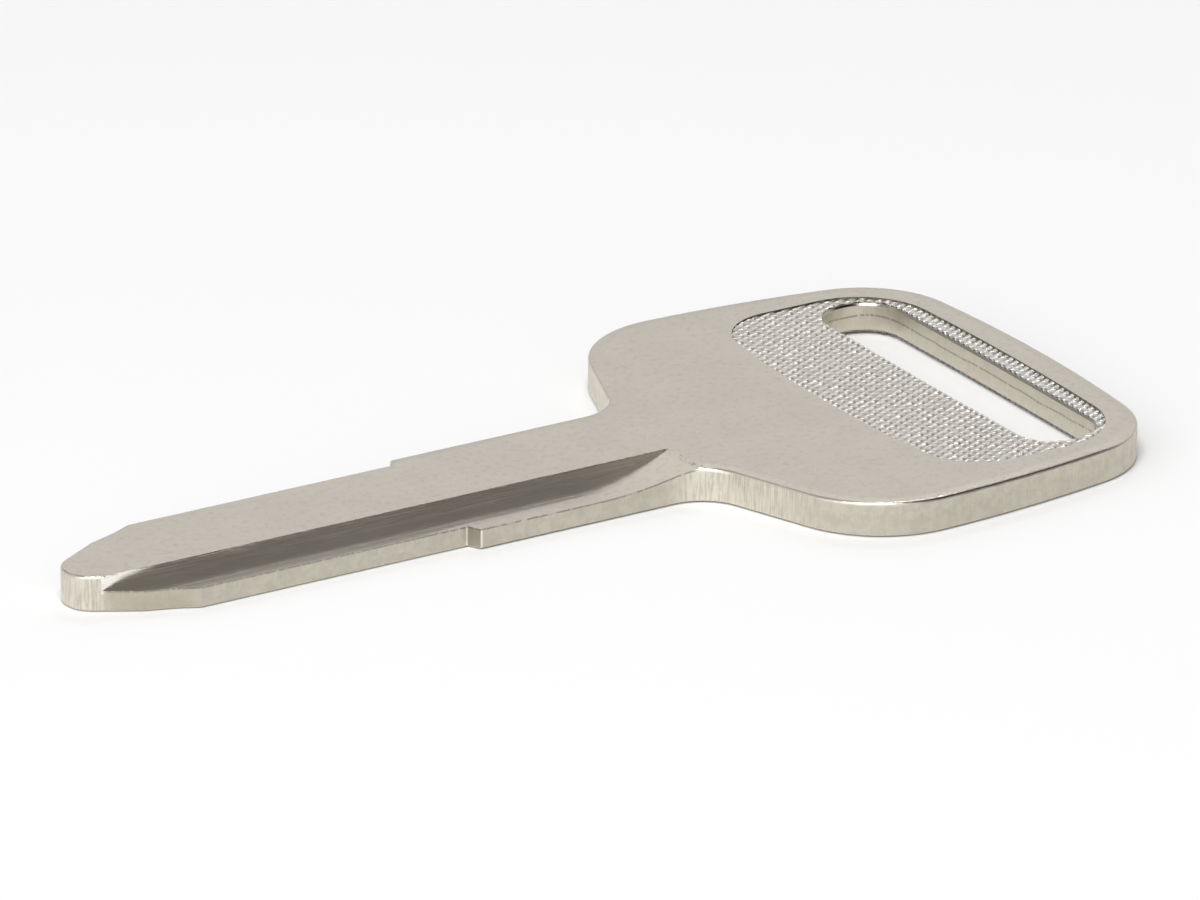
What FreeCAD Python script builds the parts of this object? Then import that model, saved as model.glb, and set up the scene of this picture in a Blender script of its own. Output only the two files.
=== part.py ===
"""Key blank for a double-sided vehicle lock: one piece of flat stock, stamped, coined and milled.

Frame: the blade points to -X and the bow lies at +X. The underside is at Z = 0 and the origin is
its middle. Both faces are alike: a half turn about the long axis brings one to the other.
"""
import FreeCAD, Part
import Sketcher
import math
import os
import re

# Driving dimensions in millimetres: name, value, meaning
SIZES = [
    ("overall_length", 67.2, "tip of the blade to the end of the bow"),
    ("thickness", 2.2, "flat stock"),
    ("blade_length", 40.3, "tip to the corner between blade and bow"),
    ("blade_width", 10.35, "blade next to the bow"),
    ("front_width", 8.75, "blade in front of the step"),
    ("step_from_tip", 24.45, "tip to the foot of the step"),
    ("step_slope", 0.35, "length of the slanted step face"),
    ("tip_width", 2.2, "flat end of the nose before its corners are rounded"),
    ("tip_radius", 1.7, "rounded corners of the nose"),
    ("nose_run_tip", 3.36, "length of the steep facet of the nose"),
    ("nose_width_tip", 6.15, "width where that facet ends"),
    ("nose_run_middle", 1.91, "length of the shallow facet"),
    ("nose_width_middle", 7.5, "width where that facet ends"),
    ("nose_run_back", 1.27, "length of the last facet, up to the full front width"),
    ("neck_radius", 3.2, "hollow corner between blade and bow"),
    ("shoulder_lean", 4.25, "how far the shoulder leans toward the end of the bow"),
    ("shoulder_width", 33.4, "bow across its shoulder corners, before rounding"),
    ("end_width", 28.9, "bow across its end corners, before rounding"),
    ("side_bulge", 0.8, "how far each side of the bow swells"),
    ("end_bulge", 1.05, "how far the end of the bow swells"),
    ("shoulder_radius", 6.9, "shoulder corners"),
    ("end_radius", 6.1, "end corners of the bow"),
    ("roll_width", 0.7, "shallow slant that the blanking die leaves along the rim of the bow"),
    ("roll_depth", 0.05, "how far that slant drops at the rim's edge"),
    ("edge_radius", 0.2, "tumbled edges all round"),
    ("slot_wall", 3.35, "metal between the key-ring slot and the end of the bow"),
    ("slot_width", 5.15, "key-ring slot along the key"),
    ("slot_length", 25.6, "key-ring slot across the key"),
    ("slot_radius", 2.6, "corners of the slot"),
    ("slot_bulge", 0.12, "how far each long side of the slot swells"),
    ("slot_edge", 0.12, "broken edges of the slot"),
    ("panel_wall", 2.05, "flat rim between the sunk grip panel and the end of the bow"),
    ("panel_length", 13.5, "grip panel along the key"),
    ("panel_width", 27.8, "grip panel across the key"),
    ("panel_depth", 0.2, "how deep each grip panel is coined"),
    ("panel_front_radius", 4.0, "corners of the grip panel toward the blade"),
    ("panel_end_radius", 4.8, "corners of the grip panel toward the end of the bow"),
    ("panel_front_bulge", 1.0, "how far the front of the panel swells toward the blade"),
    ("panel_end_bulge", 0.5, "how far the end of the panel swells with the bow"),
    ("groove_offset", 1.9, "middle of the blade to the wall of each groove"),
    ("groove_depth", 0.89, "depth of each groove"),
    ("groove_end", 39.8, "tip to the end of the cutter's run-out"),
    ("cutter_radius", 28.0, "slotting cutter whose run-out ends each groove"),
    ("cutter_clearance", 2.0, "how far the cutter's path runs clear of the metal"),
]

doc = FreeCAD.newDocument("key_blank")
sheet = doc.addObject("Spreadsheet::Sheet", "Sizes")
for row, (name, value, meaning) in enumerate(SIZES, start=1):
    sheet.set(f"A{row}", meaning)
    sheet.set(f"B{row}", str(value))
    sheet.setAlias(f"B{row}", name)
doc.recompute()

SIZE_NAME = re.compile(r"\b(" + "|".join(name for name, _, _ in SIZES) + r")\b")


def formula(text):
    """A size formula as the document's expressions spell it, with each size as a sheet cell."""
    return SIZE_NAME.sub(r"Sizes.\1", text)


def worth(text):
    """The number a size formula gives now."""
    return float(sheet.evalExpression(formula(text)))


def bind(feature, property_path, text):
    """Tie a property of a feature to a size formula."""
    feature.setExpression(property_path, formula(text))


def arc_radius(start, end, bulge):
    """Formula for the radius of an arc between two corners that swells by the bulge."""
    chord_squared = f"((({end[0]}) - ({start[0]})) ^ 2 + (({end[1]}) - ({start[1]})) ^ 2)"
    return f"{chord_squared} / (8 * {bulge}) + {bulge} / 2"


def new_sketch(body, name, plane, offset=None):
    """Empty sketch on one of the body's origin planes, moved along the plane's normal."""
    sketch = body.newObject("Sketcher::SketchObject", name)
    support = next(feature for feature in body.Origin.OriginFeatures if feature.Role == plane)
    sketch.AttachmentSupport = [(support, "")]
    sketch.MapMode = "FlatFace"
    if offset:
        bind(sketch, ".AttachmentOffset.Base.z", offset)
    return sketch


def bent_side(start, end, radius=None):
    """Line between two points, or an arc of the radius that swells out of a counterclockwise outline."""
    if radius is None:
        return Part.LineSegment(start, end)
    chord = end - start
    swell = radius - math.sqrt(radius ** 2 - chord.Length ** 2 / 4)
    outward = FreeCAD.Vector(chord.y, -chord.x, 0).normalize()
    return Part.Arc(start, (start + end) / 2 + outward * swell, end)


def place_point(sketch, geometry, corner):
    """Hold a sketch point at a corner whose two coordinates are size formulas."""
    for kind, text in zip(("DistanceX", "DistanceY"), corner):
        row = sketch.addConstraint(Sketcher.Constraint(kind, -1, 1, geometry, 1, worth(text)))
        bind(sketch, f"Constraints[{row}]", text)


def hold_radius(sketch, geometry, radius):
    """Give a sketch arc a radius from a size formula."""
    row = sketch.addConstraint(Sketcher.Constraint("Radius", geometry, worth(radius)))
    bind(sketch, f"Constraints[{row}]", radius)


def draw_outline(sketch, corners, radii=None, rounds=None):
    """Closed counterclockwise outline through the corners, given as pairs of size formulas.

    Side k leaves corner k, and is an arc where radii names it. A corner that rounds names is
    rounded off inside the sketch, and its sharp point stays as a construction point.
    """
    radii, rounds = radii or {}, rounds or {}
    count = len(corners)
    places = [FreeCAD.Vector(worth(along), worth(across), 0) for along, across in corners]
    starts, ends = list(places), places[1:] + places[:1]
    for corner, radius in rounds.items():
        back = (places[corner - 1] - places[corner]).normalize()
        ahead = (places[(corner + 1) % count] - places[corner]).normalize()
        setback = worth(radius) / math.tan(back.getAngle(ahead) / 2)
        starts[corner] = places[corner] + ahead * setback
        ends[corner - 1] = places[corner] + back * setback
    for side in range(count):
        sketch.addGeometry(bent_side(starts[side], ends[side], worth(radii[side]) if side in radii else None))
    for side, radius in radii.items():
        hold_radius(sketch, side, radius)
    for corner in range(count):
        before = (corner - 1) % count
        if corner not in rounds:
            sketch.addConstraint(Sketcher.Constraint("Coincident", before, 2, corner, 1))
            place_point(sketch, corner, corners[corner])
            continue
        radius = rounds[corner]
        bend = sketch.addGeometry(bent_side(ends[before], starts[corner], worth(radius)))
        sketch.addConstraint(Sketcher.Constraint("Tangent", before, 2, bend, 1))
        sketch.addConstraint(Sketcher.Constraint("Tangent", bend, 2, corner, 1))
        hold_radius(sketch, bend, radius)
        sharp = sketch.addGeometry(Part.Point(places[corner]), True)
        place_point(sketch, sharp, corners[corner])
        sketch.addConstraint(Sketcher.Constraint("PointOnObject", sharp, 1, before))
        sketch.addConstraint(Sketcher.Constraint("PointOnObject", sharp, 1, corner))


def both_halves(half):
    """Outline corners from the lower half's, given as (distance from the tip, full width)."""
    lower = [(f"({from_tip}) - overall_length / 2", f"-({width}) / 2") for from_tip, width in half]
    upper = [(along, f"-({across})") for along, across in reversed(lower)]
    return lower + upper


def upright_edges(feature, corners):
    """Names of the feature's straight edges along Z that stand on the given outline corners."""
    places = [(worth(along), worth(across)) for along, across in corners]
    names = []
    for number, edge in enumerate(feature.Shape.Edges, start=1):
        first, last = edge.Vertexes[0].Point, edge.Vertexes[-1].Point
        stands = math.hypot(first.x - last.x, first.y - last.y) < 0.001 and abs(first.z - last.z) > 0.01
        if stands and any(math.hypot(first.x - x, first.y - y) < 0.01 for x, y in places):
            names.append(f"Edge{number}")
    return names


def face_edges(feature, height, start, end, reach):
    """Names of the feature's edges that lie flat at a height, wholly inside a rectangle.

    The rectangle runs from start to end along the key and the reach to either side of its middle.
    """
    window = FreeCAD.BoundBox(start, -reach, height, end, reach, height)
    window.enlarge(0.02)
    return [f"Edge{number}" for number, edge in enumerate(feature.Shape.Edges, start=1)
            if edge.BoundBox.isValid() and window.isInside(edge.BoundBox)]


def wall_edges(feature):
    """Names of the feature's edges where an upright wall meets a face."""
    names = []
    for number, edge in enumerate(feature.Shape.Edges, start=1):
        slants = []
        for face in feature.Shape.ancestorsOfType(edge, Part.Face):
            start_u, end_u, start_v, end_v = face.ParameterRange
            slants.append(abs(face.normalAt((start_u + end_u) / 2, (start_v + end_v) / 2).z))
        if sum(slant < 0.01 for slant in slants) == 1:
            names.append(f"Edge{number}")
    return names


def round_off(body, name, edges, radius):
    """Fillet on edges of the body's last feature."""
    base = body.Tip
    fillet = body.newObject("PartDesign::Fillet", name)
    fillet.Base = (base, edges)
    bind(fillet, "Radius", radius)
    doc.recompute()
    return fillet


def slant_off(body, name, edges, over_face, down_wall):
    """Chamfer on edges between a face and the walls that it meets."""
    base = body.Tip
    slant = body.newObject("PartDesign::Chamfer", name)
    slant.Base = (base, edges)
    slant.ChamferType = "Two distances"
    bind(slant, "Size", over_face)
    bind(slant, "Size2", down_wall)
    doc.recompute()
    return slant


def cut(body, name, sketch, depth=None, side="One side", along_normal=False):
    """Pocket from a sketch, to a depth or right through, that must remove metal."""
    before = body.Tip.Shape.Volume
    pocket = body.newObject("PartDesign::Pocket", name)
    pocket.Profile = sketch
    pocket.SideType = side
    pocket.Reversed = along_normal
    if depth:
        bind(pocket, "Length", depth)
    else:
        pocket.Type = "ThroughAll"
    doc.recompute()
    if pocket.Shape.Volume >= before:
        raise RuntimeError(f"{name} removes nothing")
    return pocket


# Blank: the stamped outline of nose, stepped blade, shoulders and bow
key = doc.addObject("PartDesign::Body", "key_blank")
key.Label = "key_blank"

half_outline = {
    "tip": ("0", "tip_width"),
    "nose_front": ("nose_run_tip", "nose_width_tip"),
    "nose_middle": ("nose_run_tip + nose_run_middle", "nose_width_middle"),
    "nose_back": ("nose_run_tip + nose_run_middle + nose_run_back", "front_width"),
    "step_foot": ("step_from_tip", "front_width"),
    "step_head": ("step_from_tip + step_slope", "blade_width"),
    "neck": ("blade_length", "blade_width"),
    "shoulder": ("blade_length + shoulder_lean", "shoulder_width"),
    "end": ("overall_length - end_bulge", "end_width"),
}
outline = both_halves(half_outline.values())
lower = {name: number for number, name in enumerate(half_outline)}
upper = {name: len(outline) - 1 - number for name, number in lower.items()}
side_arc = arc_radius(outline[lower["shoulder"]], outline[lower["end"]], "side_bulge")
end_arc = arc_radius(outline[lower["end"]], outline[upper["end"]], "end_bulge")

outline_sketch = new_sketch(key, "outline_sketch", "XY_Plane")
bow_arcs = {lower["shoulder"]: side_arc, lower["end"]: end_arc, upper["end"]: side_arc}
draw_outline(outline_sketch, outline, bow_arcs)
blank = key.newObject("PartDesign::Pad", "blank")
blank.Profile = outline_sketch
blank.SideType = "Symmetric"
bind(blank, "Length", "thickness")
doc.recompute()

for name, corner, radius in [
    ("nose_corners", "tip", "min(tip_radius; 0.8 * tip_width)"),
    ("neck_corners", "neck", "neck_radius"),
    ("shoulder_corners", "shoulder", "shoulder_radius"),
    ("end_corners", "end", "end_radius"),
]:
    edges = upright_edges(key.Tip, [outline[lower[corner]], outline[upper[corner]]])
    round_off(key, name, edges, radius)

# Rim of the bow: a shallow slant from the blanking die, which fades out at the step of the blade
bow_start = worth("blade_length + shoulder_lean - overall_length / 2")
for name, height in [("rolled_edge_lower", "-thickness / 2"), ("rolled_edge_upper", "thickness / 2")]:
    bow = face_edges(key.Tip, worth(height), bow_start, worth("overall_length"), worth("shoulder_width"))
    slant_off(key, name, bow, "roll_width", "roll_depth")
round_off(key, "tumbled_edges", wall_edges(key.Tip), "edge_radius")

# Key-ring slot through the bow, with swelling long sides and rounded corners
slot_half = [
    ("overall_length - slot_wall - slot_width + slot_bulge", "slot_length"),
    ("overall_length - slot_wall - slot_bulge", "slot_length"),
]
slot_outline = both_halves(slot_half)
slot_arc = arc_radius(slot_outline[1], slot_outline[2], "slot_bulge")
slot_sketch = new_sketch(key, "slot_sketch", "XY_Plane")
slot_round = "min(slot_radius; 0.49 * slot_width - slot_bulge)"
draw_outline(slot_sketch, slot_outline, {1: slot_arc, 3: slot_arc}, dict.fromkeys(range(4), slot_round))
cut(key, "key_ring_slot", slot_sketch, side="Symmetric")

# Grip panel coined into the face round the slot
panel_half = [
    ("overall_length - panel_wall - panel_length + panel_front_bulge", "panel_width"),
    ("overall_length - panel_wall - panel_end_bulge", "panel_width"),
]
panel_outline = both_halves(panel_half)
panel_front_arc = arc_radius(panel_outline[3], panel_outline[0], "panel_front_bulge")
panel_end_arc = arc_radius(panel_outline[1], panel_outline[2], "panel_end_bulge")
panel_sketch = new_sketch(key, "panel_sketch", "XY_Plane", offset="thickness / 2")
panel_rounds = {0: "panel_front_radius", 1: "panel_end_radius", 2: "panel_end_radius", 3: "panel_front_radius"}
draw_outline(panel_sketch, panel_outline, {1: panel_end_arc, 3: panel_front_arc}, panel_rounds)
grip_panel = cut(key, "grip_panel", panel_sketch, depth="panel_depth")

# Groove milled along one edge of the blade, open to the side, with the cutter's run-out
run_out = "sqrt(2 * cutter_radius * groove_depth - groove_depth ^ 2)"
groove_floor = "thickness / 2 - groove_depth"
groove_profile = [
    ("-overall_length / 2 - cutter_clearance", groove_floor),
    (f"groove_end - overall_length / 2 - {run_out}", groove_floor),
    ("groove_end - overall_length / 2", "thickness / 2"),
    ("groove_end - overall_length / 2", "thickness / 2 + cutter_clearance"),
    ("-overall_length / 2 - cutter_clearance", "thickness / 2 + cutter_clearance"),
]
groove_sketch = new_sketch(key, "groove_sketch", "XZ_Plane", offset="groove_offset")
draw_outline(groove_sketch, groove_profile, {1: "cutter_radius"})
groove = cut(key, "groove", groove_sketch, along_normal=True)

# The other face gets the same panel and groove, half a turn round the long axis
other_face = key.newObject("PartDesign::PolarPattern", "other_face")
other_face.Originals = [grip_panel, groove]
other_face.Axis = (next(axis for axis in key.Origin.OriginFeatures if axis.Role == "X_Axis"), [""])
other_face.Angle = 360
other_face.Occurrences = 2
doc.recompute()
key.Tip = other_face

# Broken edges of the slot, on the floors of both grip panels
slot_start = worth("overall_length / 2 - slot_wall - slot_width")
slot_end = worth("overall_length / 2 - slot_wall")
slot_edges = []
for height in (worth("thickness / 2 - panel_depth"), worth("panel_depth - thickness / 2")):
    slot_edges += face_edges(other_face, height, slot_start, slot_end, worth("slot_length / 2"))
slant_off(key, "slot_edges", slot_edges, "slot_edge", "slot_edge")

bind(key, ".Placement.Base.z", "thickness / 2")
doc.recompute()

for item in doc.Objects:
    if "Invalid" in item.State or "Error" in item.State:
        raise RuntimeError(f"{item.Name} failed: {item.State}")

os.makedirs("parts", exist_ok=True)
for body in [key]:
    shape = body.Shape
    if shape.isNull() or not shape.isValid():
        raise RuntimeError(f"{body.Label} has no valid shape")
    shape.exportStep(f"parts/{body.Label}.step")
    print(body.Label, len(shape.Solids), "solid,", round(shape.Volume, 2), "cubic mm")
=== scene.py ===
"""Key blank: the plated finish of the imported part, the knurl in its grip panels, and its stage."""
import math
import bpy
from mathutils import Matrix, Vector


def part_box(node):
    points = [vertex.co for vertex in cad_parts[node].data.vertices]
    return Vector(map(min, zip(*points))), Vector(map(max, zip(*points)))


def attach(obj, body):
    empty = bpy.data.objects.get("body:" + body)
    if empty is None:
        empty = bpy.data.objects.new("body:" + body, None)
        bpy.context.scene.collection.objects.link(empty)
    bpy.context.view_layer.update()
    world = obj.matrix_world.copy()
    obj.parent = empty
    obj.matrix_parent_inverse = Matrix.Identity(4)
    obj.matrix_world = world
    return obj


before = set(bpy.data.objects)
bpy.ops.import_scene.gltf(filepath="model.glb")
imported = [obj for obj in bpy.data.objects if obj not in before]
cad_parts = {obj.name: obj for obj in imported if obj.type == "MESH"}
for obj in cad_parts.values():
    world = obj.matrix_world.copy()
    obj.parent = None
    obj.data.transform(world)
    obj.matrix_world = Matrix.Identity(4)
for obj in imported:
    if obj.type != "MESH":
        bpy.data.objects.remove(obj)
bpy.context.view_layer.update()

from types import SimpleNamespace

import bmesh
import bpy
import numpy as np
from bpy.props import FloatProperty, FloatVectorProperty, IntProperty, PointerProperty
from mathutils import Vector

bl_info = {
    "name": "Key Blank",
    "version": (1, 0, 0),
    "blender": (4, 5, 0),
    "location": "3D View > Sidebar > Key Blank",
    "description": "Plates a stamped key blank, knurls its grip panels and sets it on a pale stage",
    "category": "Object",
}

KEY = "key_blank"
MILLIMETRE = 0.001
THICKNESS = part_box(KEY)[1].z / MILLIMETRE


# Shader nodes

class Signal:
    """A shader socket that does arithmetic: an expression on signals adds the Math nodes for it."""

    def __init__(self, shader, socket):
        self.shader = shader
        self.socket = socket

    def maths(self, operation, *others):
        values = dict(enumerate((self, *others)))
        return self.shader.node("Math", {"operation": operation}, values)

    def reflected(self, operation, other):
        return self.shader.node("Math", {"operation": operation}, {0: other, 1: self})

    def __add__(self, other):
        return self.maths("ADD", other)

    def __sub__(self, other):
        return self.maths("SUBTRACT", other)

    def __mul__(self, other):
        return self.maths("MULTIPLY", other)

    def __truediv__(self, other):
        return self.maths("DIVIDE", other)

    def __pow__(self, other):
        return self.maths("POWER", other)

    def __rsub__(self, other):
        return self.reflected("SUBTRACT", other)

    def __rtruediv__(self, other):
        return self.reflected("DIVIDE", other)

    def __rpow__(self, other):
        return self.reflected("POWER", other)

    __radd__ = __add__
    __rmul__ = __mul__

    def __abs__(self):
        return self.maths("ABSOLUTE")

    def sign(self):
        return self.maths("SIGN")

    def most(self, other):
        return self.maths("MAXIMUM", other)

    def blended(self, other, share):
        """This signal where share is 0, the other one where it is 1."""
        return self + (other - self) * share

    def rise(self, low, high):
        """Smooth step from 0 at low to 1 at high, or down from 1 where low is the larger."""
        start, end, out = (low, high, (0.0, 1.0)) if low < high else (high, low, (1.0, 0.0))
        sockets = {
            "Value": self, "From Min": start, "From Max": end, "To Min": out[0], "To Max": out[1],
        }
        return self.shader.node("MapRange", {"interpolation_type": "SMOOTHSTEP"}, sockets, "Result")


class Shader:
    """The node tree of a material or a world while it is put together."""

    def __init__(self, owner):
        owner.use_nodes = True
        self.tree = owner.node_tree
        self.tree.nodes.clear()

    def node(self, kind, settings=None, sockets=None, output=0):
        """Add a node, its settings first, then each socket's value or link, and give one output."""
        node = self.tree.nodes.new("ShaderNode" + kind)
        for name, value in (settings or {}).items():
            setattr(node, name, value)
        for key, value in (sockets or {}).items():
            socket = node.inputs[key] if isinstance(key, int) else self.shown(node.inputs, key)
            if isinstance(value, Signal):
                self.tree.links.new(value.socket, socket)
            else:
                socket.default_value = value
        if not node.outputs:
            return None
        if isinstance(output, int):
            return Signal(self, node.outputs[output])
        return Signal(self, self.shown(node.outputs, output))

    @staticmethod
    def shown(sockets, name):
        """The socket of that name that the node's settings leave in use."""
        return next(socket for socket in sockets if socket.name == name and socket.enabled)

    def mix(self, factor, first, second):
        """Colour between two colours."""
        sockets = {"Factor": factor, "A": first, "B": second}
        return self.node("Mix", {"data_type": "RGBA"}, sockets, "Result")

    def noise(self, place, scale, detail=2.0, roughness=0.5, distortion=0.0):
        """Cloudy noise from 0 to 1."""
        sockets = {
            "Vector": place, "Scale": scale, "Detail": detail,
            "Roughness": roughness, "Distortion": distortion,
        }
        return self.node("TexNoise", None, sockets, "Fac")

    def stretched(self, place, factors):
        """A place with each axis multiplied, for streaked noise."""
        return self.node("VectorMath", {"operation": "MULTIPLY"}, {0: place, 1: factors}, "Vector")

    def axes(self, place):
        """The three numbers of a vector."""
        split = self.node("SeparateXYZ", None, {"Vector": place})
        return [Signal(self, socket) for socket in split.socket.node.outputs]


def colour(values):
    """Four numbers of a colour from three."""
    return (*values, 1.0)


def add_object(name, data):
    """New object in the scene's collection."""
    made = bpy.data.objects.new(name, data)
    bpy.context.scene.collection.objects.link(made)
    return made


# Sizes and colours that a user may change

class PlateSettings(bpy.types.PropertyGroup):
    """Finish of the plated metal."""

    face_colour: FloatVectorProperty(
        name="Face colour", description="Plating on the flat faces", subtype="COLOR",
        size=3, min=0.0, max=1.0, default=(0.738, 0.686, 0.598))
    wall_colour: FloatVectorProperty(
        name="Wall colour", description="Plating on the sheared walls", subtype="COLOR",
        size=3, min=0.0, max=1.0, default=(0.610, 0.570, 0.485))
    face_roughness: FloatProperty(
        name="Face roughness", description="Blur of reflections in the flat faces",
        subtype="FACTOR", min=0.0, max=1.0, default=0.2)
    wall_roughness: FloatProperty(
        name="Wall roughness", description="Blur of reflections in the sheared walls",
        subtype="FACTOR", min=0.0, max=1.0, default=0.40)
    groove_roughness: FloatProperty(
        name="Groove roughness", description="Blur of reflections in the milled grooves",
        subtype="FACTOR", min=0.0, max=1.0, default=0.14)
    grain_depth: FloatProperty(
        name="Grain depth", description="Height of the plating's fine grain",
        subtype="DISTANCE", unit="LENGTH", min=0.0, default=0.000004, precision=6)


class KnurlSettings(bpy.types.PropertyGroup):
    """Raised knurl of the two grip panels."""

    pitch: FloatProperty(
        name="Pitch", description="Distance between neighbouring bumps of a row, and between rows",
        subtype="DISTANCE", unit="LENGTH", min=0.0002, default=0.00057, precision=5)
    height: FloatProperty(
        name="Height", description="Rise of a bump above the floor of the panel",
        subtype="DISTANCE", unit="LENGTH", min=0.0, default=0.00016, precision=5)
    steps: IntProperty(
        name="Steps", description="Mesh steps from the middle of a bump to its groove",
        min=1, max=6, default=3)
    unevenness: FloatProperty(
        name="Unevenness", description="How much bumps differ in height",
        subtype="FACTOR", min=0.0, max=1.0, default=0.28)
    lean: FloatProperty(
        name="Lean", description="How far the peak of a bump may sit off its middle, in pitches",
        subtype="FACTOR", min=0.0, max=0.4, default=0.08)


class StageSettings(bpy.types.PropertyGroup):
    """Floor, light and camera."""

    floor_colour: FloatVectorProperty(
        name="Floor colour", description="Pale floor under the key", subtype="COLOR",
        size=3, min=0.0, max=1.0, default=(0.9, 0.9, 0.9))
    azimuth: FloatProperty(
        name="Azimuth", description="Direction of the camera round the key",
        subtype="ANGLE", default=math.radians(-31.425))
    elevation: FloatProperty(
        name="Elevation", description="Height of the camera above the horizon",
        subtype="ANGLE", default=math.radians(21.770))
    distance: FloatProperty(
        name="Distance", description="Camera to the middle of the view",
        subtype="DISTANCE", unit="LENGTH", default=0.7420)
    focal_length: FloatProperty(
        name="Focal length", description="Lens of the camera, in millimetres",
        subtype="DISTANCE_CAMERA", min=10.0, default=375.65)
    aim: FloatVectorProperty(
        name="Aim", description="Middle of the view", subtype="TRANSLATION",
        unit="LENGTH", size=3, default=(0.003927, 0.002289, 0.0011))


# Plating

# Outline of the grip panels in millimetres: middle along the key, half sizes without the corners
PANEL_MIDDLE = 24.8
PANEL_STRAIGHT = (1.95, 9.1)
PANEL_CORNER = 4.8

# Milled groove in millimetres: its bed off the middle plane, and the cutter that leaves its run-out
BED_LEVEL = 0.21
RUN_OUT_START = -0.86
CUTTER_RADIUS = 28.0

# Width of the darker strip on the bed: at the nose, less at the step, less at the run-out, its
# wander
BED_WIDTH = 4.55
BED_WIDTH_LOST = [((-14.0, -8.0), 0.45), ((-4.0, 6.0), 0.9)]
BED_WIDTH_WANDER = 0.25

# Height of the line that shearing left on the slot's wall, and how far it wanders upwards
SHEAR_LINE_HEIGHT = 1.0
SHEAR_LINE_WANDER = 0.5

# Where painted glints mark the edges of the blade's step, along the key
STEP_LINES_AT = [-9.24, -8.72]

# Soft edges of the areas: the value at which each starts, and the value at which it is full
EDGES = SimpleNamespace(
    # Steepness: 1 on a level surface, 0 on an upright one
    upright=(0.7, 0.3),
    flat=(0.9, 0.95),
    slanted=(0.98, 0.9),
    # Millimetres off the middle plane
    below_face=(1.098, 1.090),
    off_panel_floor=(0.905, 0.915),
    furrow_top=(1.03, 0.92),
    furrow_bottom=(0.87, 0.89),
    slot_edge_bottom=(0.76, 0.79),
    slot_edge_top=(0.905, 0.895),
    knurl_bottom=(0.89, 0.90),
    near_bed=(0.30, 0.26),
    near_groove_top=(0.98, 1.06),
    lip_bottom=(-0.13, -0.07),
    lip_top=(0.05, 0.02),
    # Millimetres across the key, towards the groove's side
    groove_side=(1.87, 1.89),
    past_groove_wall=(1.92, 1.96),
    bed_side=(1.88, 1.92),
    lip_side=(1.9, 2.2),
    dark_strip_side=(3.55, 3.85),
    dark_strip_end=(-0.05, 0.35),
    # Millimetres along the key
    groove_end=(6.4, 6.3),
    knurl_end=(30.0, 30.4),
    step_face_start=(-9.22, -9.14),
    step_face_end=(-8.70, -8.78),
    step_line=(0.09, 0.03),
    neck_start=(3.0, 6.0),
    neck_end=(10.5, 8.0),
    tip=(-31.6, -32.6),
    nose_start=(-32.4, -31.6),
    nose_end=(-26.5, -28.0),
    # Distance from the panel's inner rectangle, from the wall's middle and from the shear line
    panel=(PANEL_CORNER + 0.3, PANEL_CORNER + 0.2),
    mid_wall=(0.22, 0.05),
    shear_line=(0.10, 0.02),
    # Strength of a noise
    clouded=(0.3, 0.7),
    mottled=(0.48, 0.70),
    patched=(0.35, 0.65),
    mid_wall_streaks=(0.4, 0.6),
    sheen_streaks=(0.35, 0.6),
    shear_line_streaks=(0.35, 0.5),
    lip_specks=(0.40, 0.50),
    brow_specks=(0.50, 0.60),
    mill_lines=(0.35, 0.65),
    fine_pits=(0.70, 0.78),
    wide_pits=(0.74, 0.77),
)

# Noises over the key: stretch of each axis, scale per millimetre, detail, roughness, distortion
EVEN = (1.0, 1.0, 1.0)
NOISES = {
    "clouds": (EVEN, 0.35, 3.0, 0.6),
    "wander": (EVEN, 0.25, 2.0, 0.5),
    "patches": (EVEN, 1.6, 3.0, 0.6, 0.6),
    "mottle": (EVEN, 2.2, 4.0, 0.75),
    "specks": (EVEN, 3.2, 3.0, 0.7),
    "speckle": (EVEN, 14.0, 2.0, 0.6),
    "grain": (EVEN, 45.0, 1.0),
    "streaks": ((9.0, 9.0, 0.7), 1.0, 3.0, 0.6),
    "mill_lines": ((0.25, 16.0, 16.0), 1.0, 3.0, 0.6),
}

# Stains and tones, painted shade, painted reflections and painted highlights: strength and colour of
# each
TINTS = {
    "mottle": (0.24, (0.42, 0.37, 0.29)),
    "mid_wall": (0.35, (0.50, 0.45, 0.36)),
    # painted sheen: the walls of the neck and the tip made lighter where they would reflect bright
    # light
    "painted_sheen": (0.5, (0.93, 0.88, 0.78)),
    # painted shade on the walls of the nose
    "painted_nose_shade": (0.4, (0.42, 0.36, 0.27)),
    # painted shade on the step's face, and painted glints on the step's edges
    "painted_step_shade": (0.6, (0.28, 0.25, 0.20)),
    "painted_step_glints": (0.8, (1.0, 0.97, 0.90)),
    "slot_wall": (0.4, (0.78, 0.73, 0.63)),
    "shear_line": (0.85, (0.34, 0.29, 0.22)),
    # painted highlight on the groove's wall
    "painted_mill_shine": (1.0, (1.0, 0.98, 0.93)),
    # darker strip on the groove's bed
    "dark_bed_strip": (0.65, (0.30, 0.28, 0.245)),
    # painted dark reflections along the groove's two edges
    "painted_lip_line": (0.8, (0.22, 0.20, 0.17)),
    "painted_brow_line": (0.7, (0.30, 0.25, 0.19)),
    "pits": (0.5, (0.42, 0.40, 0.36)),
    # painted shade on the panel's wall
    "panel_wall": (1.0, (0.16, 0.145, 0.12)),
    "knurl": (1.0, (0.90, 0.885, 0.86)),
    # painted shade at the knurl's foot, and a painted dark reflection on the slot's slanted edge
    "painted_furrow_shade": (0.15, (0.20, 0.19, 0.17)),
    "slot_edge": (0.35, (0.15, 0.14, 0.12)),
}

# Brightness of the darkest patches of the faces and of the walls, as a share of their colour
FACE_SHADE = 0.97
WALL_SHADE = 0.88

# Painted shine of the groove's wall and paleness of the knurl: the least, and what can come on top
MILL_SHINE = (0.45, 0.55)
KNURL_PALENESS = (0.45, 0.3)

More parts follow.
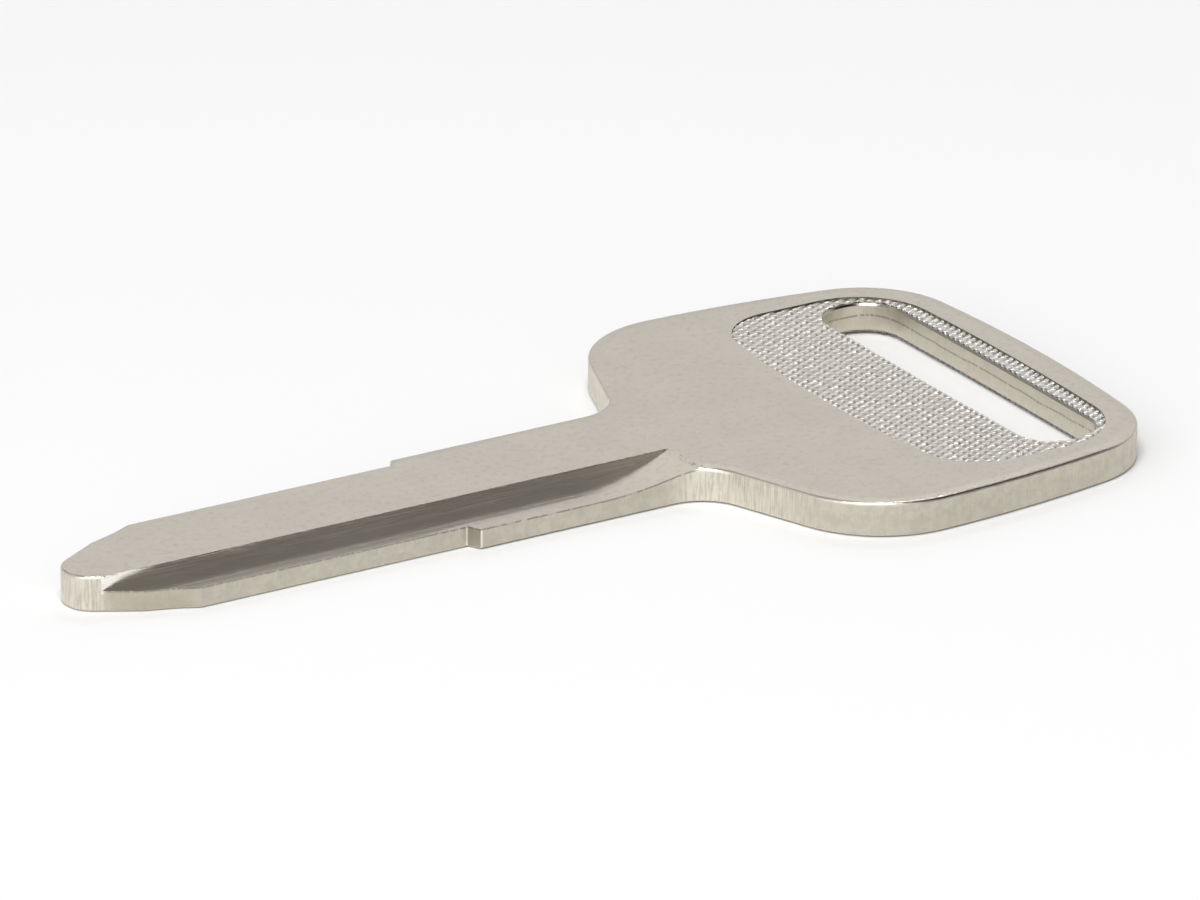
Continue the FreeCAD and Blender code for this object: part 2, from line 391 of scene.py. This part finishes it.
# How much each noise changes the roughness
CLOUD_BLUR = 0.1
SPECKLE_BLUR = 0.1
STREAK_BLUR = 0.25
MILL_BLUR = 0.1
KNURL_BLUR = 0.14

# Heights of the relief's noises, in depths of the grain
SPECKLE_RELIEF = 2.0
GRAIN_RELIEF = 0.3
STREAK_RELIEF = 4.0
MILL_RELIEF = 1.5


class KeyPlace:
    """Where a point lies on the key in millimetres, and how far in each area, from 0 to 1."""

    def __init__(self, shader):
        place = shader.node("TexCoord", None, None, "Object")
        self.millimetres = shader.stretched(place, (1.0 / MILLIMETRE,) * 3)
        self.x, self.y, self.z = shader.axes(self.millimetres)
        self.up = abs(shader.axes(shader.node("NewGeometry", None, None, "Normal"))[2])
        self.level = abs(self.z - THICKNESS / 2)
        self.across = self.y * (THICKNESS / 2 - self.z).sign()
        self.upright = self.up.rise(*EDGES.upright)
        self.below_face = self.level.rise(*EDGES.below_face)
        groove = self.across.rise(*EDGES.groove_side) * self.below_face
        groove = groove * self.x.rise(*EDGES.groove_end)
        self.milled = groove * (1.0 - self.upright * self.across.rise(*EDGES.past_groove_wall))
        self.wall = self.upright * (1.0 - self.milled)
        self.panel = self.in_panel()
        self.knurled = (self.panel * self.level.rise(*EDGES.knurl_bottom) * self.below_face
                        * (1.0 - self.wall))

    def in_panel(self):
        """The grip panel, a rectangle with rounded corners."""
        beyond_x = (abs(self.x - PANEL_MIDDLE) - PANEL_STRAIGHT[0]).most(0.0)
        beyond_y = (abs(self.y) - PANEL_STRAIGHT[1]).most(0.0)
        return ((beyond_x ** 2 + beyond_y ** 2) ** 0.5).rise(*EDGES.panel)


def wall_masks(key, noises):
    """Where the sheared walls are darker in a streaky band at mid-height or paler at the slot, with
    painted shade on the nose and on the step's face, painted sheen on the neck and the tip, and
    painted glints on the step's edges.
    """
    middle = abs(key.z / THICKNESS - 0.5).rise(*EDGES.mid_wall)
    neck = key.x.rise(*EDGES.neck_start) * key.x.rise(*EDGES.neck_end)
    # painted sheen on the walls of the neck and the tip
    painted_sheen = neck + key.x.rise(*EDGES.tip)
    # painted shade on the step's face, and painted glints at its two edges
    painted_step_shade = key.x.rise(*EDGES.step_face_start) * key.x.rise(*EDGES.step_face_end)
    painted_step_glints = sum(abs(key.x - place).rise(*EDGES.step_line) for place in STEP_LINES_AT)
    return {
        "mid_wall": middle * noises.streaks.rise(*EDGES.mid_wall_streaks),
        "painted_sheen": painted_sheen * noises.streaks.rise(*EDGES.sheen_streaks),
        # painted shade on the walls of the nose
        "painted_nose_shade": key.x.rise(*EDGES.nose_start) * key.x.rise(*EDGES.nose_end),
        "painted_step_shade": key.wall * painted_step_shade,
        "painted_step_glints": key.wall * painted_step_glints,
        "slot_wall": key.panel,
    }


def shear_mask(key, noises):
    """The wavy line along the slot's wall, where the sheared metal tore."""
    line = key.z - SHEAR_LINE_HEIGHT - noises.wander * SHEAR_LINE_WANDER
    torn = abs(line).rise(*EDGES.shear_line) * noises.streaks.rise(*EDGES.shear_line_streaks)
    return {"shear_line": key.wall * key.panel * torn}


def groove_masks(key, noises):
    """Painted shine on the milled groove's wall along its mill lines, a darker strip on its bed, and
    painted dark reflections along its two edges.
    """
    lines = noises.mill_lines.rise(*EDGES.mill_lines)
    bed = key.up.rise(*EDGES.flat) * key.level.rise(*EDGES.near_bed)
    bed = bed * key.across.rise(*EDGES.bed_side)
    bed_width = BED_WIDTH
    for steps, lost in BED_WIDTH_LOST:
        bed_width = bed_width - key.x.rise(*steps) * lost
    bed_width = bed_width + (noises.patches - 0.5) * BED_WIDTH_WANDER
    dark_bed_strip = bed * key.across.rise(*EDGES.dark_strip_side)
    run_out = ((key.x - RUN_OUT_START).most(0.0) ** 2) / (2.0 * CUTTER_RADIUS)
    above_bed = key.level - (run_out + BED_LEVEL)
    # painted dark reflections: on the wall at the height of the groove's bed, and on the groove's
    # upper edge
    painted_lip_line = key.wall * key.across.rise(*EDGES.lip_side)
    painted_lip_line = painted_lip_line * above_bed.rise(*EDGES.lip_bottom) * above_bed.rise(*EDGES.lip_top)
    painted_brow_line = key.milled * key.level.rise(*EDGES.near_groove_top)
    return {
        # painted highlight on the groove's wall, streaked by the mill lines
        "painted_mill_shine": key.milled * key.upright * (MILL_SHINE[0] + lines * MILL_SHINE[1]),
        "dark_bed_strip": dark_bed_strip * (bed_width - key.across).rise(*EDGES.dark_strip_end),
        "painted_lip_line": painted_lip_line * noises.specks.rise(*EDGES.lip_specks),
        "painted_brow_line": painted_brow_line * noises.specks.rise(*EDGES.brow_specks),
    }


def pit_mask(noises):
    """Small pits all over the plating."""
    fine, wide = noises.speckle.rise(*EDGES.fine_pits), noises.specks.rise(*EDGES.wide_pits)
    return {"pits": fine.most(wide)}


def panel_masks(key):
    """Painted shade on the panel's wall and at the knurl's foot, the knurl's paler tone, and a
    painted dark reflection on the slot's slanted edge.
    """
    # painted shade at the knurl's foot, and a painted dark reflection on the slot's slanted edge
    painted_furrow_shade = key.panel * key.level.rise(*EDGES.furrow_top) * key.level.rise(*EDGES.furrow_bottom)
    slot_edge = key.panel * key.level.rise(*EDGES.slot_edge_bottom)
    slot_edge = slot_edge * key.level.rise(*EDGES.slot_edge_top)
    paleness = KNURL_PALENESS[0] + key.x.rise(*EDGES.knurl_end) * KNURL_PALENESS[1]
    return {
        # painted shade on the panel's wall
        "panel_wall": key.wall * (key.panel * key.level.rise(*EDGES.off_panel_floor)),
        "knurl": key.knurled * paleness,
        "painted_furrow_shade": painted_furrow_shade * (1.0 - key.wall),
        "slot_edge": slot_edge * key.up.rise(*EDGES.slanted),
    }


def tinted(shader, base, masks):
    """A colour with tints laid over it in turn, each where its mask lets it show."""
    for name, mask in masks.items():
        strength, tint = TINTS[name]
        base = shader.mix(mask * strength, base, colour(tint))
    return base


def shaded(shader, mask, full, shade):
    """A colour that is darker by a share where the mask is 0."""
    return shader.mix(mask, colour([part * shade for part in full]), colour(full))


def plating_colour(shader, settings, key, noises):
    """Colour of the plate: faces and walls, then the marks, painted shade and painted highlights
    that cross both.
    """
    face = shaded(shader, noises.clouds.rise(*EDGES.clouded), settings.face_colour, FACE_SHADE)
    face = tinted(shader, face, {"mottle": noises.mottle.rise(*EDGES.mottled)})
    sheared = shaded(shader, noises.patches.rise(*EDGES.patched), settings.wall_colour, WALL_SHADE)
    sheared = tinted(shader, sheared, wall_masks(key, noises))
    marks = {
        **shear_mask(key, noises), **groove_masks(key, noises), **pit_mask(noises),
        **panel_masks(key),
    }
    return tinted(shader, shader.mix(key.wall, face, sheared), marks)


def plating_blur(settings, key, noises):
    """Roughness of the plate."""
    clouds, speckle = noises.clouds - 0.5, noises.speckle - 0.5
    face = settings.face_roughness + clouds * CLOUD_BLUR + speckle * SPECKLE_BLUR
    sheared = settings.wall_roughness + (noises.streaks - 0.5) * STREAK_BLUR
    milled = settings.groove_roughness + (noises.mill_lines - 0.5) * MILL_BLUR
    return face.blended(sheared, key.wall).blended(milled, key.milled) + key.knurled * KNURL_BLUR


def plating_relief(key, noises):
    """Height of the plate's fine grain, of the shearing's streaks and of the mill's lines."""
    grain = noises.speckle * SPECKLE_RELIEF + noises.grain * GRAIN_RELIEF
    grain = grain + noises.streaks * key.wall * STREAK_RELIEF
    return grain.blended(noises.mill_lines * MILL_RELIEF, key.milled)


def plate_material(settings):
    """Satin nickel plate over brass: faces, milled grooves and sheared walls."""
    material = bpy.data.materials.new("nickel_plate")
    shader = Shader(material)
    key = KeyPlace(shader)
    noises = SimpleNamespace(**{
        name: shader.noise(shader.stretched(key.millimetres, stretch), *numbers)
        for name, (stretch, *numbers) in NOISES.items()})
    relief = shader.node("Bump", None, {
        "Strength": 1.0, "Distance": settings.grain_depth,
        "Height": plating_relief(key, noises)}, "Normal")
    surface = shader.node("BsdfPrincipled", None, {
        "Base Color": plating_colour(shader, settings, key, noises), "Metallic": 1.0,
        "Roughness": plating_blur(settings, key, noises), "Normal": relief}, "BSDF")
    shader.node("OutputMaterial", None, {"Surface": surface})
    return material


class KEYBLANK_OT_plate(bpy.types.Operator):
    """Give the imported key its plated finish"""

    bl_idname = "keyblank.plate"
    bl_label = "Plate the Key"

    def execute(self, context):
        material = plate_material(context.scene.keyblank_plate)
        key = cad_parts[KEY]
        key.data.materials.clear()
        key.data.materials.append(material)
        return {"FINISHED"}


# Knurl

# Least depth of a panel's floor, how level its points lie, and its normal's least upward part
SUNK_AT_LEAST = 0.05 * MILLIMETRE
LEVEL_WITHIN = 0.002 * MILLIMETRE
LEVEL_NORMAL = 0.999

# How far the knurl reaches under the panel's rim, and how near a groove its points lie, in pitches
UNDER_RIM = 0.05 * MILLIMETRE
IN_GROOVE_WITHIN = 0.001

# Rise left at the foot of a bump as a share of its height, size of the table of chances, first seed
FOOT_SHARE = 0.05
CHANCES = 128
KNURL_SEED = 3


def floor_heights(mesh):
    """Heights of the upper and the lower panel floor, the largest level areas sunk into a face."""
    top, areas = THICKNESS * MILLIMETRE, {}
    for polygon in mesh.polygons:
        height = round(polygon.center.z, 6)
        level = abs(polygon.normal.z) > LEVEL_NORMAL
        if level and SUNK_AT_LEAST < height < top - SUNK_AT_LEAST:
            areas[height] = areas.get(height, 0.0) + polygon.area
    upper = max((height for height in areas if height > top / 2), key=areas.get)
    lower = max((height for height in areas if height < top / 2), key=areas.get)
    return upper, lower


def floor_loops(mesh, height):
    """Outer loop and slot loop of a panel floor, as arrays of XY points."""
    def spot(index):
        return tuple(round(value, 7) for value in mesh.vertices[index].co[:2])

    edges = set()
    for polygon in mesh.polygons:
        levels = [mesh.vertices[index].co.z for index in polygon.vertices]
        if all(abs(level - height) < LEVEL_WITHIN for level in levels):
            spots = [spot(index) for index in polygon.vertices]
            edges.update(zip(spots, spots[1:] + spots[:1]))
    following = dict(edge for edge in edges if edge[::-1] not in edges)
    loops = []
    while following:
        start, place = following.popitem()
        loop = [start]
        while place != start:
            loop.append(place)
            place = following.pop(place)
        loops.append(np.array(loop))
    return sorted(loops, key=lambda loop: -np.ptp(loop[:, 0]))


def outside_of(points, loop):
    """Signed distance of points from a closed loop: below zero inside it."""
    nearest = np.full(len(points), np.inf)
    inside = np.zeros(len(points), bool)
    for start, end in zip(loop, np.roll(loop, -1, axis=0)):
        way, offset = end - start, points - start
        share = np.clip(offset @ way / (way @ way), 0.0, 1.0)
        nearest = np.minimum(nearest, np.hypot(*(offset - share[:, None] * way).T))
        crosses = (start[1] > points[:, 1]) != (end[1] > points[:, 1])
        slope = way[0] / way[1] if way[1] else 0.0
        inside ^= crosses & (offset[:, 0] < offset[:, 1] * slope)
    return np.where(inside, -nearest, nearest)


def bump_rise(lattice, settings, seed):
    """Height of the knurl at lattice places, whose whole numbers are the middles of the bumps."""
    nearest = np.rint(lattice).astype(int)
    offset = lattice - nearest
    chance = np.random.default_rng(seed).uniform(-1.0, 1.0, (CHANCES, CHANCES, 3))
    drawn = chance[nearest[..., 0] % CHANCES, nearest[..., 1] % CHANCES]
    peak = drawn[..., :2] * settings.lean
    rising, falling = (offset + 0.5) / (peak + 0.5), (0.5 - offset) / (0.5 - peak)
    from_groove = np.where(offset < peak, rising, falling).min(-1).clip(0.0, 1.0)
    missing = settings.unevenness * (0.5 + 0.5 * drawn[..., 2])
    shape = FOOT_SHARE + (1.0 - FOOT_SHARE) * (1.0 - missing) * np.sin(np.pi / 2 * from_groove)
    return settings.height * shape


def knurl_surface(rim, slot, settings):
    """Lattice places and faces of the knurl, cut off at the slot and a little under the rim.

    A lattice place (a, b) lies (b - a) pitches along the key and (a + b) / 2 across it, so the
    two families of grooves run along the lattice's own lines.
    """
    middle, half = (rim.min(0) + rim.max(0)) / 2, np.ptp(rim, axis=0) / 2 / settings.pitch
    reach = int((half[1] + half[0] / 2 + 1) * 2 * settings.steps)
    ticks = np.arange(-reach, reach + 1) / (2 * settings.steps)
    lattice = np.stack(np.meshgrid(ticks, ticks, indexing="ij"), -1)

    def spots(places):
        a, b = places[..., 0], places[..., 1]
        return middle + np.stack([b - a, (a + b) / 2], -1) * settings.pitch

    points = spots(lattice)
    near = (np.abs(points - middle) < (half + 0.5) * settings.pitch).all(-1)
    outside = np.full(near.shape, 1.0)
    rim_gap = outside_of(points[near], rim) - UNDER_RIM
    outside[near] = np.maximum(rim_gap, -outside_of(points[near], slot))

    places, faces, index = [], [], {}

    def number(first, second=None):
        """Vertex at a lattice node, or where the edge between two nodes leaves the panel."""
        key = first if second is None else frozenset((first, second))
        if key not in index:
            index[key] = len(places)
            place = lattice[first]
            if second is not None:
                share = outside[first] / (outside[first] - outside[second])
                place = place + (lattice[second] - place) * share
            places.append(place)
        return index[key]

    some = outside < 0
    cells = some[:-1, :-1] | some[1:, :-1] | some[:-1, 1:] | some[1:, 1:]
    for i, j in np.argwhere(cells).tolist():
        ring = [(i, j), (i, j + 1), (i + 1, j + 1), (i + 1, j)]
        face = []
        for first, second in zip(ring, ring[1:] + ring[:1]):
            if some[first]:
                face.append(number(first))
            if some[first] != some[second]:
                face.append(number(first, second))
        faces.append(face)
    places = np.array(places)
    return places, spots(places), faces


def knurl_piece(name, key_mesh, floor, facing, settings):
    """Closed mesh of the bumps that fill one grip panel, its flat back on the panel's floor."""
    rim, slot = floor_loops(key_mesh, floor)
    places, spots, faces = knurl_surface(rim, slot, settings)
    heights = floor + facing * bump_rise(places, settings, KNURL_SEED + facing)
    bm = bmesh.new()
    corners = [bm.verts.new((*spot, height))
               for spot, height in zip(spots.tolist(), heights.tolist())]
    for face in faces:
        bm.faces.new([corners[index] for index in face])
    off_groove = np.abs(np.abs(places - np.rint(places)) - 0.5)
    in_groove = (off_groove < IN_GROOVE_WITHIN).tolist()
    bm.verts.index_update()
    for edge in bm.edges:
        first, second = (in_groove[vertex.index] for vertex in edge.verts)
        edge.smooth = not ((first[0] and second[0]) or (first[1] and second[1]))
    for face in bm.faces:
        face.smooth = True
    open_edges = [edge for edge in bm.edges if edge.is_boundary]
    skirt = bmesh.ops.extrude_edge_only(bm, edges=open_edges)["geom"]
    for vertex in (item for item in skirt if isinstance(item, bmesh.types.BMVert)):
        vertex.co.z = floor
    for edge in open_edges:
        edge.smooth = False
    back_edges = [edge for edge in bm.edges if edge.is_boundary]
    bmesh.ops.triangle_fill(bm, use_beauty=True, edges=back_edges)
    bmesh.ops.recalc_face_normals(bm, faces=bm.faces)
    mesh = bpy.data.meshes.new(name)
    bm.to_mesh(mesh)
    bm.free()
    return add_object(name, mesh)


class KEYBLANK_OT_knurl(bpy.types.Operator):
    """Raise the knurl in both grip panels"""

    bl_idname = "keyblank.knurl"
    bl_label = "Knurl the Grip"

    def execute(self, context):
        key_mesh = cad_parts[KEY].data
        upper, lower = floor_heights(key_mesh)
        panels = [("grip_knurl_top", upper, 1), ("grip_knurl_underside", lower, -1)]
        for name, floor, facing in panels:
            piece = knurl_piece(name, key_mesh, floor, facing, context.scene.keyblank_knurl)
            piece.data.materials.append(key_mesh.materials[0])
            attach(piece, "root")
        return {"FINISHED"}


# Stage

# Softboxes: name, direction from the key, distance, width, brightness where 1 is white
SOFTBOXES = [
    ("overhead_softbox", (-0.25, -0.30, 0.92), 0.6, 0.24, 9.6),
    ("back_softbox", (0.42, 0.48, 0.77), 0.6, 0.06, 20.0),
]

# Studio's grey band: brightness at the horizon, and how it changes between two heights
HORIZON = 0.56
BAND_STEPS = [
    ((0.05, 0.37), 0.14),
    ((0.36, 0.60), 0.14),
    ((0.62, 0.84), -0.44),
]

# Large soft patches: direction from the key, cosines to their edge and core, brightness they add
PATCHES = [
    ((-0.60, -0.72, 0.12), 0.45, 1.0, 1.6),
    ((0.485, -0.792, 0.30), 0.45, 0.97, -0.50),
]

# Black flags: direction from the key, cosines to their soft edge and to their core, depth
FLAGS = [
    ((-0.484, -0.792, 0.371), 0.965, 0.985, 0.92),
    ((0.485, -0.370, 0.790), 0.880, 0.950, 0.92),
    ((-0.420, 0.770, 0.480), 0.940, 0.980, 0.50),
]

# Metres: half the floor's side, its gap under the key, and the range that the camera sees
FLOOR_HALF = 1.5
FLOOR_GAP = 0.00002
CAMERA_RANGE = (0.01, 20.0)

# Width of the camera's sensor, in millimetres as for the lens
SENSOR_WIDTH = 36.0


def toward(shader, direction, centre, edge, core):
    """How far a direction lies in a soft round patch of the surroundings, from 0 to 1."""
    sockets = {0: direction, 1: Vector(centre).normalized()}
    nearness = shader.node("VectorMath", {"operation": "DOT_PRODUCT"}, sockets, "Value")
    return nearness.rise(edge, core)


def studio_world(world):
    """Soft studio: grey band all round, pale on the left in front, dark on the right in front."""
    shader = Shader(world)
    direction = shader.node("TexCoord", None, None, "Generated")
    height = shader.axes(direction)[2]
    strength = HORIZON
    for steps, change in BAND_STEPS:
        strength = strength + height.rise(*steps) * change
    for centre, edge, core, change in PATCHES:
        strength = strength + toward(shader, direction, centre, edge, core) * change
    for centre, edge, core, depth in FLAGS:
        strength = strength * (1.0 - toward(shader, direction, centre, edge, core) * depth)
    background = shader.node("Background", None, {
        "Color": (1.0, 1.0, 1.0, 1.0), "Strength": strength})
    shader.node("OutputWorld", None, {"Surface": background})


def floor_material(settings):
    """Matt white paper that keeps the key's shadow."""
    material = bpy.data.materials.new("pale_floor")
    shader = Shader(material)
    surface = shader.node("BsdfDiffuse", None, {"Color": colour(settings.floor_colour)})
    shader.node("OutputMaterial", None, {"Surface": surface})
    return material


class KEYBLANK_OT_stage(bpy.types.Operator):
    """Set the floor, the studio light and the camera"""

    bl_idname = "keyblank.stage"
    bl_label = "Set the Stage"

    def execute(self, context):
        scene, settings = context.scene, context.scene.keyblank_stage
        mesh = bpy.data.meshes.new("floor")
        corners = [(-1, -1), (1, -1), (1, 1), (-1, 1)]
        places = [(FLOOR_HALF * x, FLOOR_HALF * y, 0.0) for x, y in corners]
        mesh.from_pydata(places, [], [(0, 1, 2, 3)])
        mesh.materials.append(floor_material(settings))
        floor = add_object("floor", mesh)
        floor.location.z = -FLOOR_GAP

        scene.world = bpy.data.worlds.new("studio")
        studio_world(scene.world)
        for name, direction, distance, width, radiance in SOFTBOXES:
            lamp = bpy.data.lights.new(name, "AREA")
            lamp.size = width
            lamp.energy = radiance * math.pi * width ** 2
            box = add_object(name, lamp)
            box.location = Vector(direction).normalized() * distance
            box.rotation_euler = box.location.to_track_quat("Z", "Y").to_euler()

        camera = bpy.data.cameras.new("camera")
        camera.sensor_width = SENSOR_WIDTH
        camera.lens = settings.focal_length
        camera.clip_start, camera.clip_end = CAMERA_RANGE
        eye = add_object("camera", camera)
        level = math.cos(settings.elevation)
        back = Vector((math.sin(settings.azimuth) * level, -math.cos(settings.azimuth) * level,
                       math.sin(settings.elevation)))
        eye.location = Vector(settings.aim) + back * settings.distance
        eye.rotation_euler = back.to_track_quat("Z", "Y").to_euler()
        scene.camera = eye
        scene.view_settings.view_transform = "Standard"
        return {"FINISHED"}


class KEYBLANK_PT_panel(bpy.types.Panel):
    """Sizes, finish and steps of the key blank"""

    bl_idname = "KEYBLANK_PT_panel"
    bl_label = "Key Blank"
    bl_space_type = "VIEW_3D"
    bl_region_type = "UI"
    bl_category = "Key Blank"

    def draw(self, context):
        for name, operator in STEPS:
            settings = getattr(context.scene, name)
            box = self.layout.box()
            for key in settings.bl_rna.properties.keys():
                if key not in ("rna_type", "name"):
                    box.prop(settings, key)
            box.operator(operator.bl_idname)


SETTINGS = {
    "keyblank_plate": PlateSettings,
    "keyblank_knurl": KnurlSettings,
    "keyblank_stage": StageSettings,
}
STEPS = [
    ("keyblank_plate", KEYBLANK_OT_plate),
    ("keyblank_knurl", KEYBLANK_OT_knurl),
    ("keyblank_stage", KEYBLANK_OT_stage),
]
CLASSES = [*SETTINGS.values(), *(operator for _, operator in STEPS), KEYBLANK_PT_panel]


def register():
    for cls in CLASSES:
        bpy.utils.register_class(cls)
    for name, settings in SETTINGS.items():
        setattr(bpy.types.Scene, name, PointerProperty(type=settings))


def unregister():
    for name in SETTINGS:
        delattr(bpy.types.Scene, name)
    for cls in reversed(CLASSES):
        bpy.utils.unregister_class(cls)


def main():
    register()
    bpy.ops.keyblank.plate()
    bpy.ops.keyblank.knurl()
    bpy.ops.keyblank.stage()


if __name__ == "__main__":
    main()
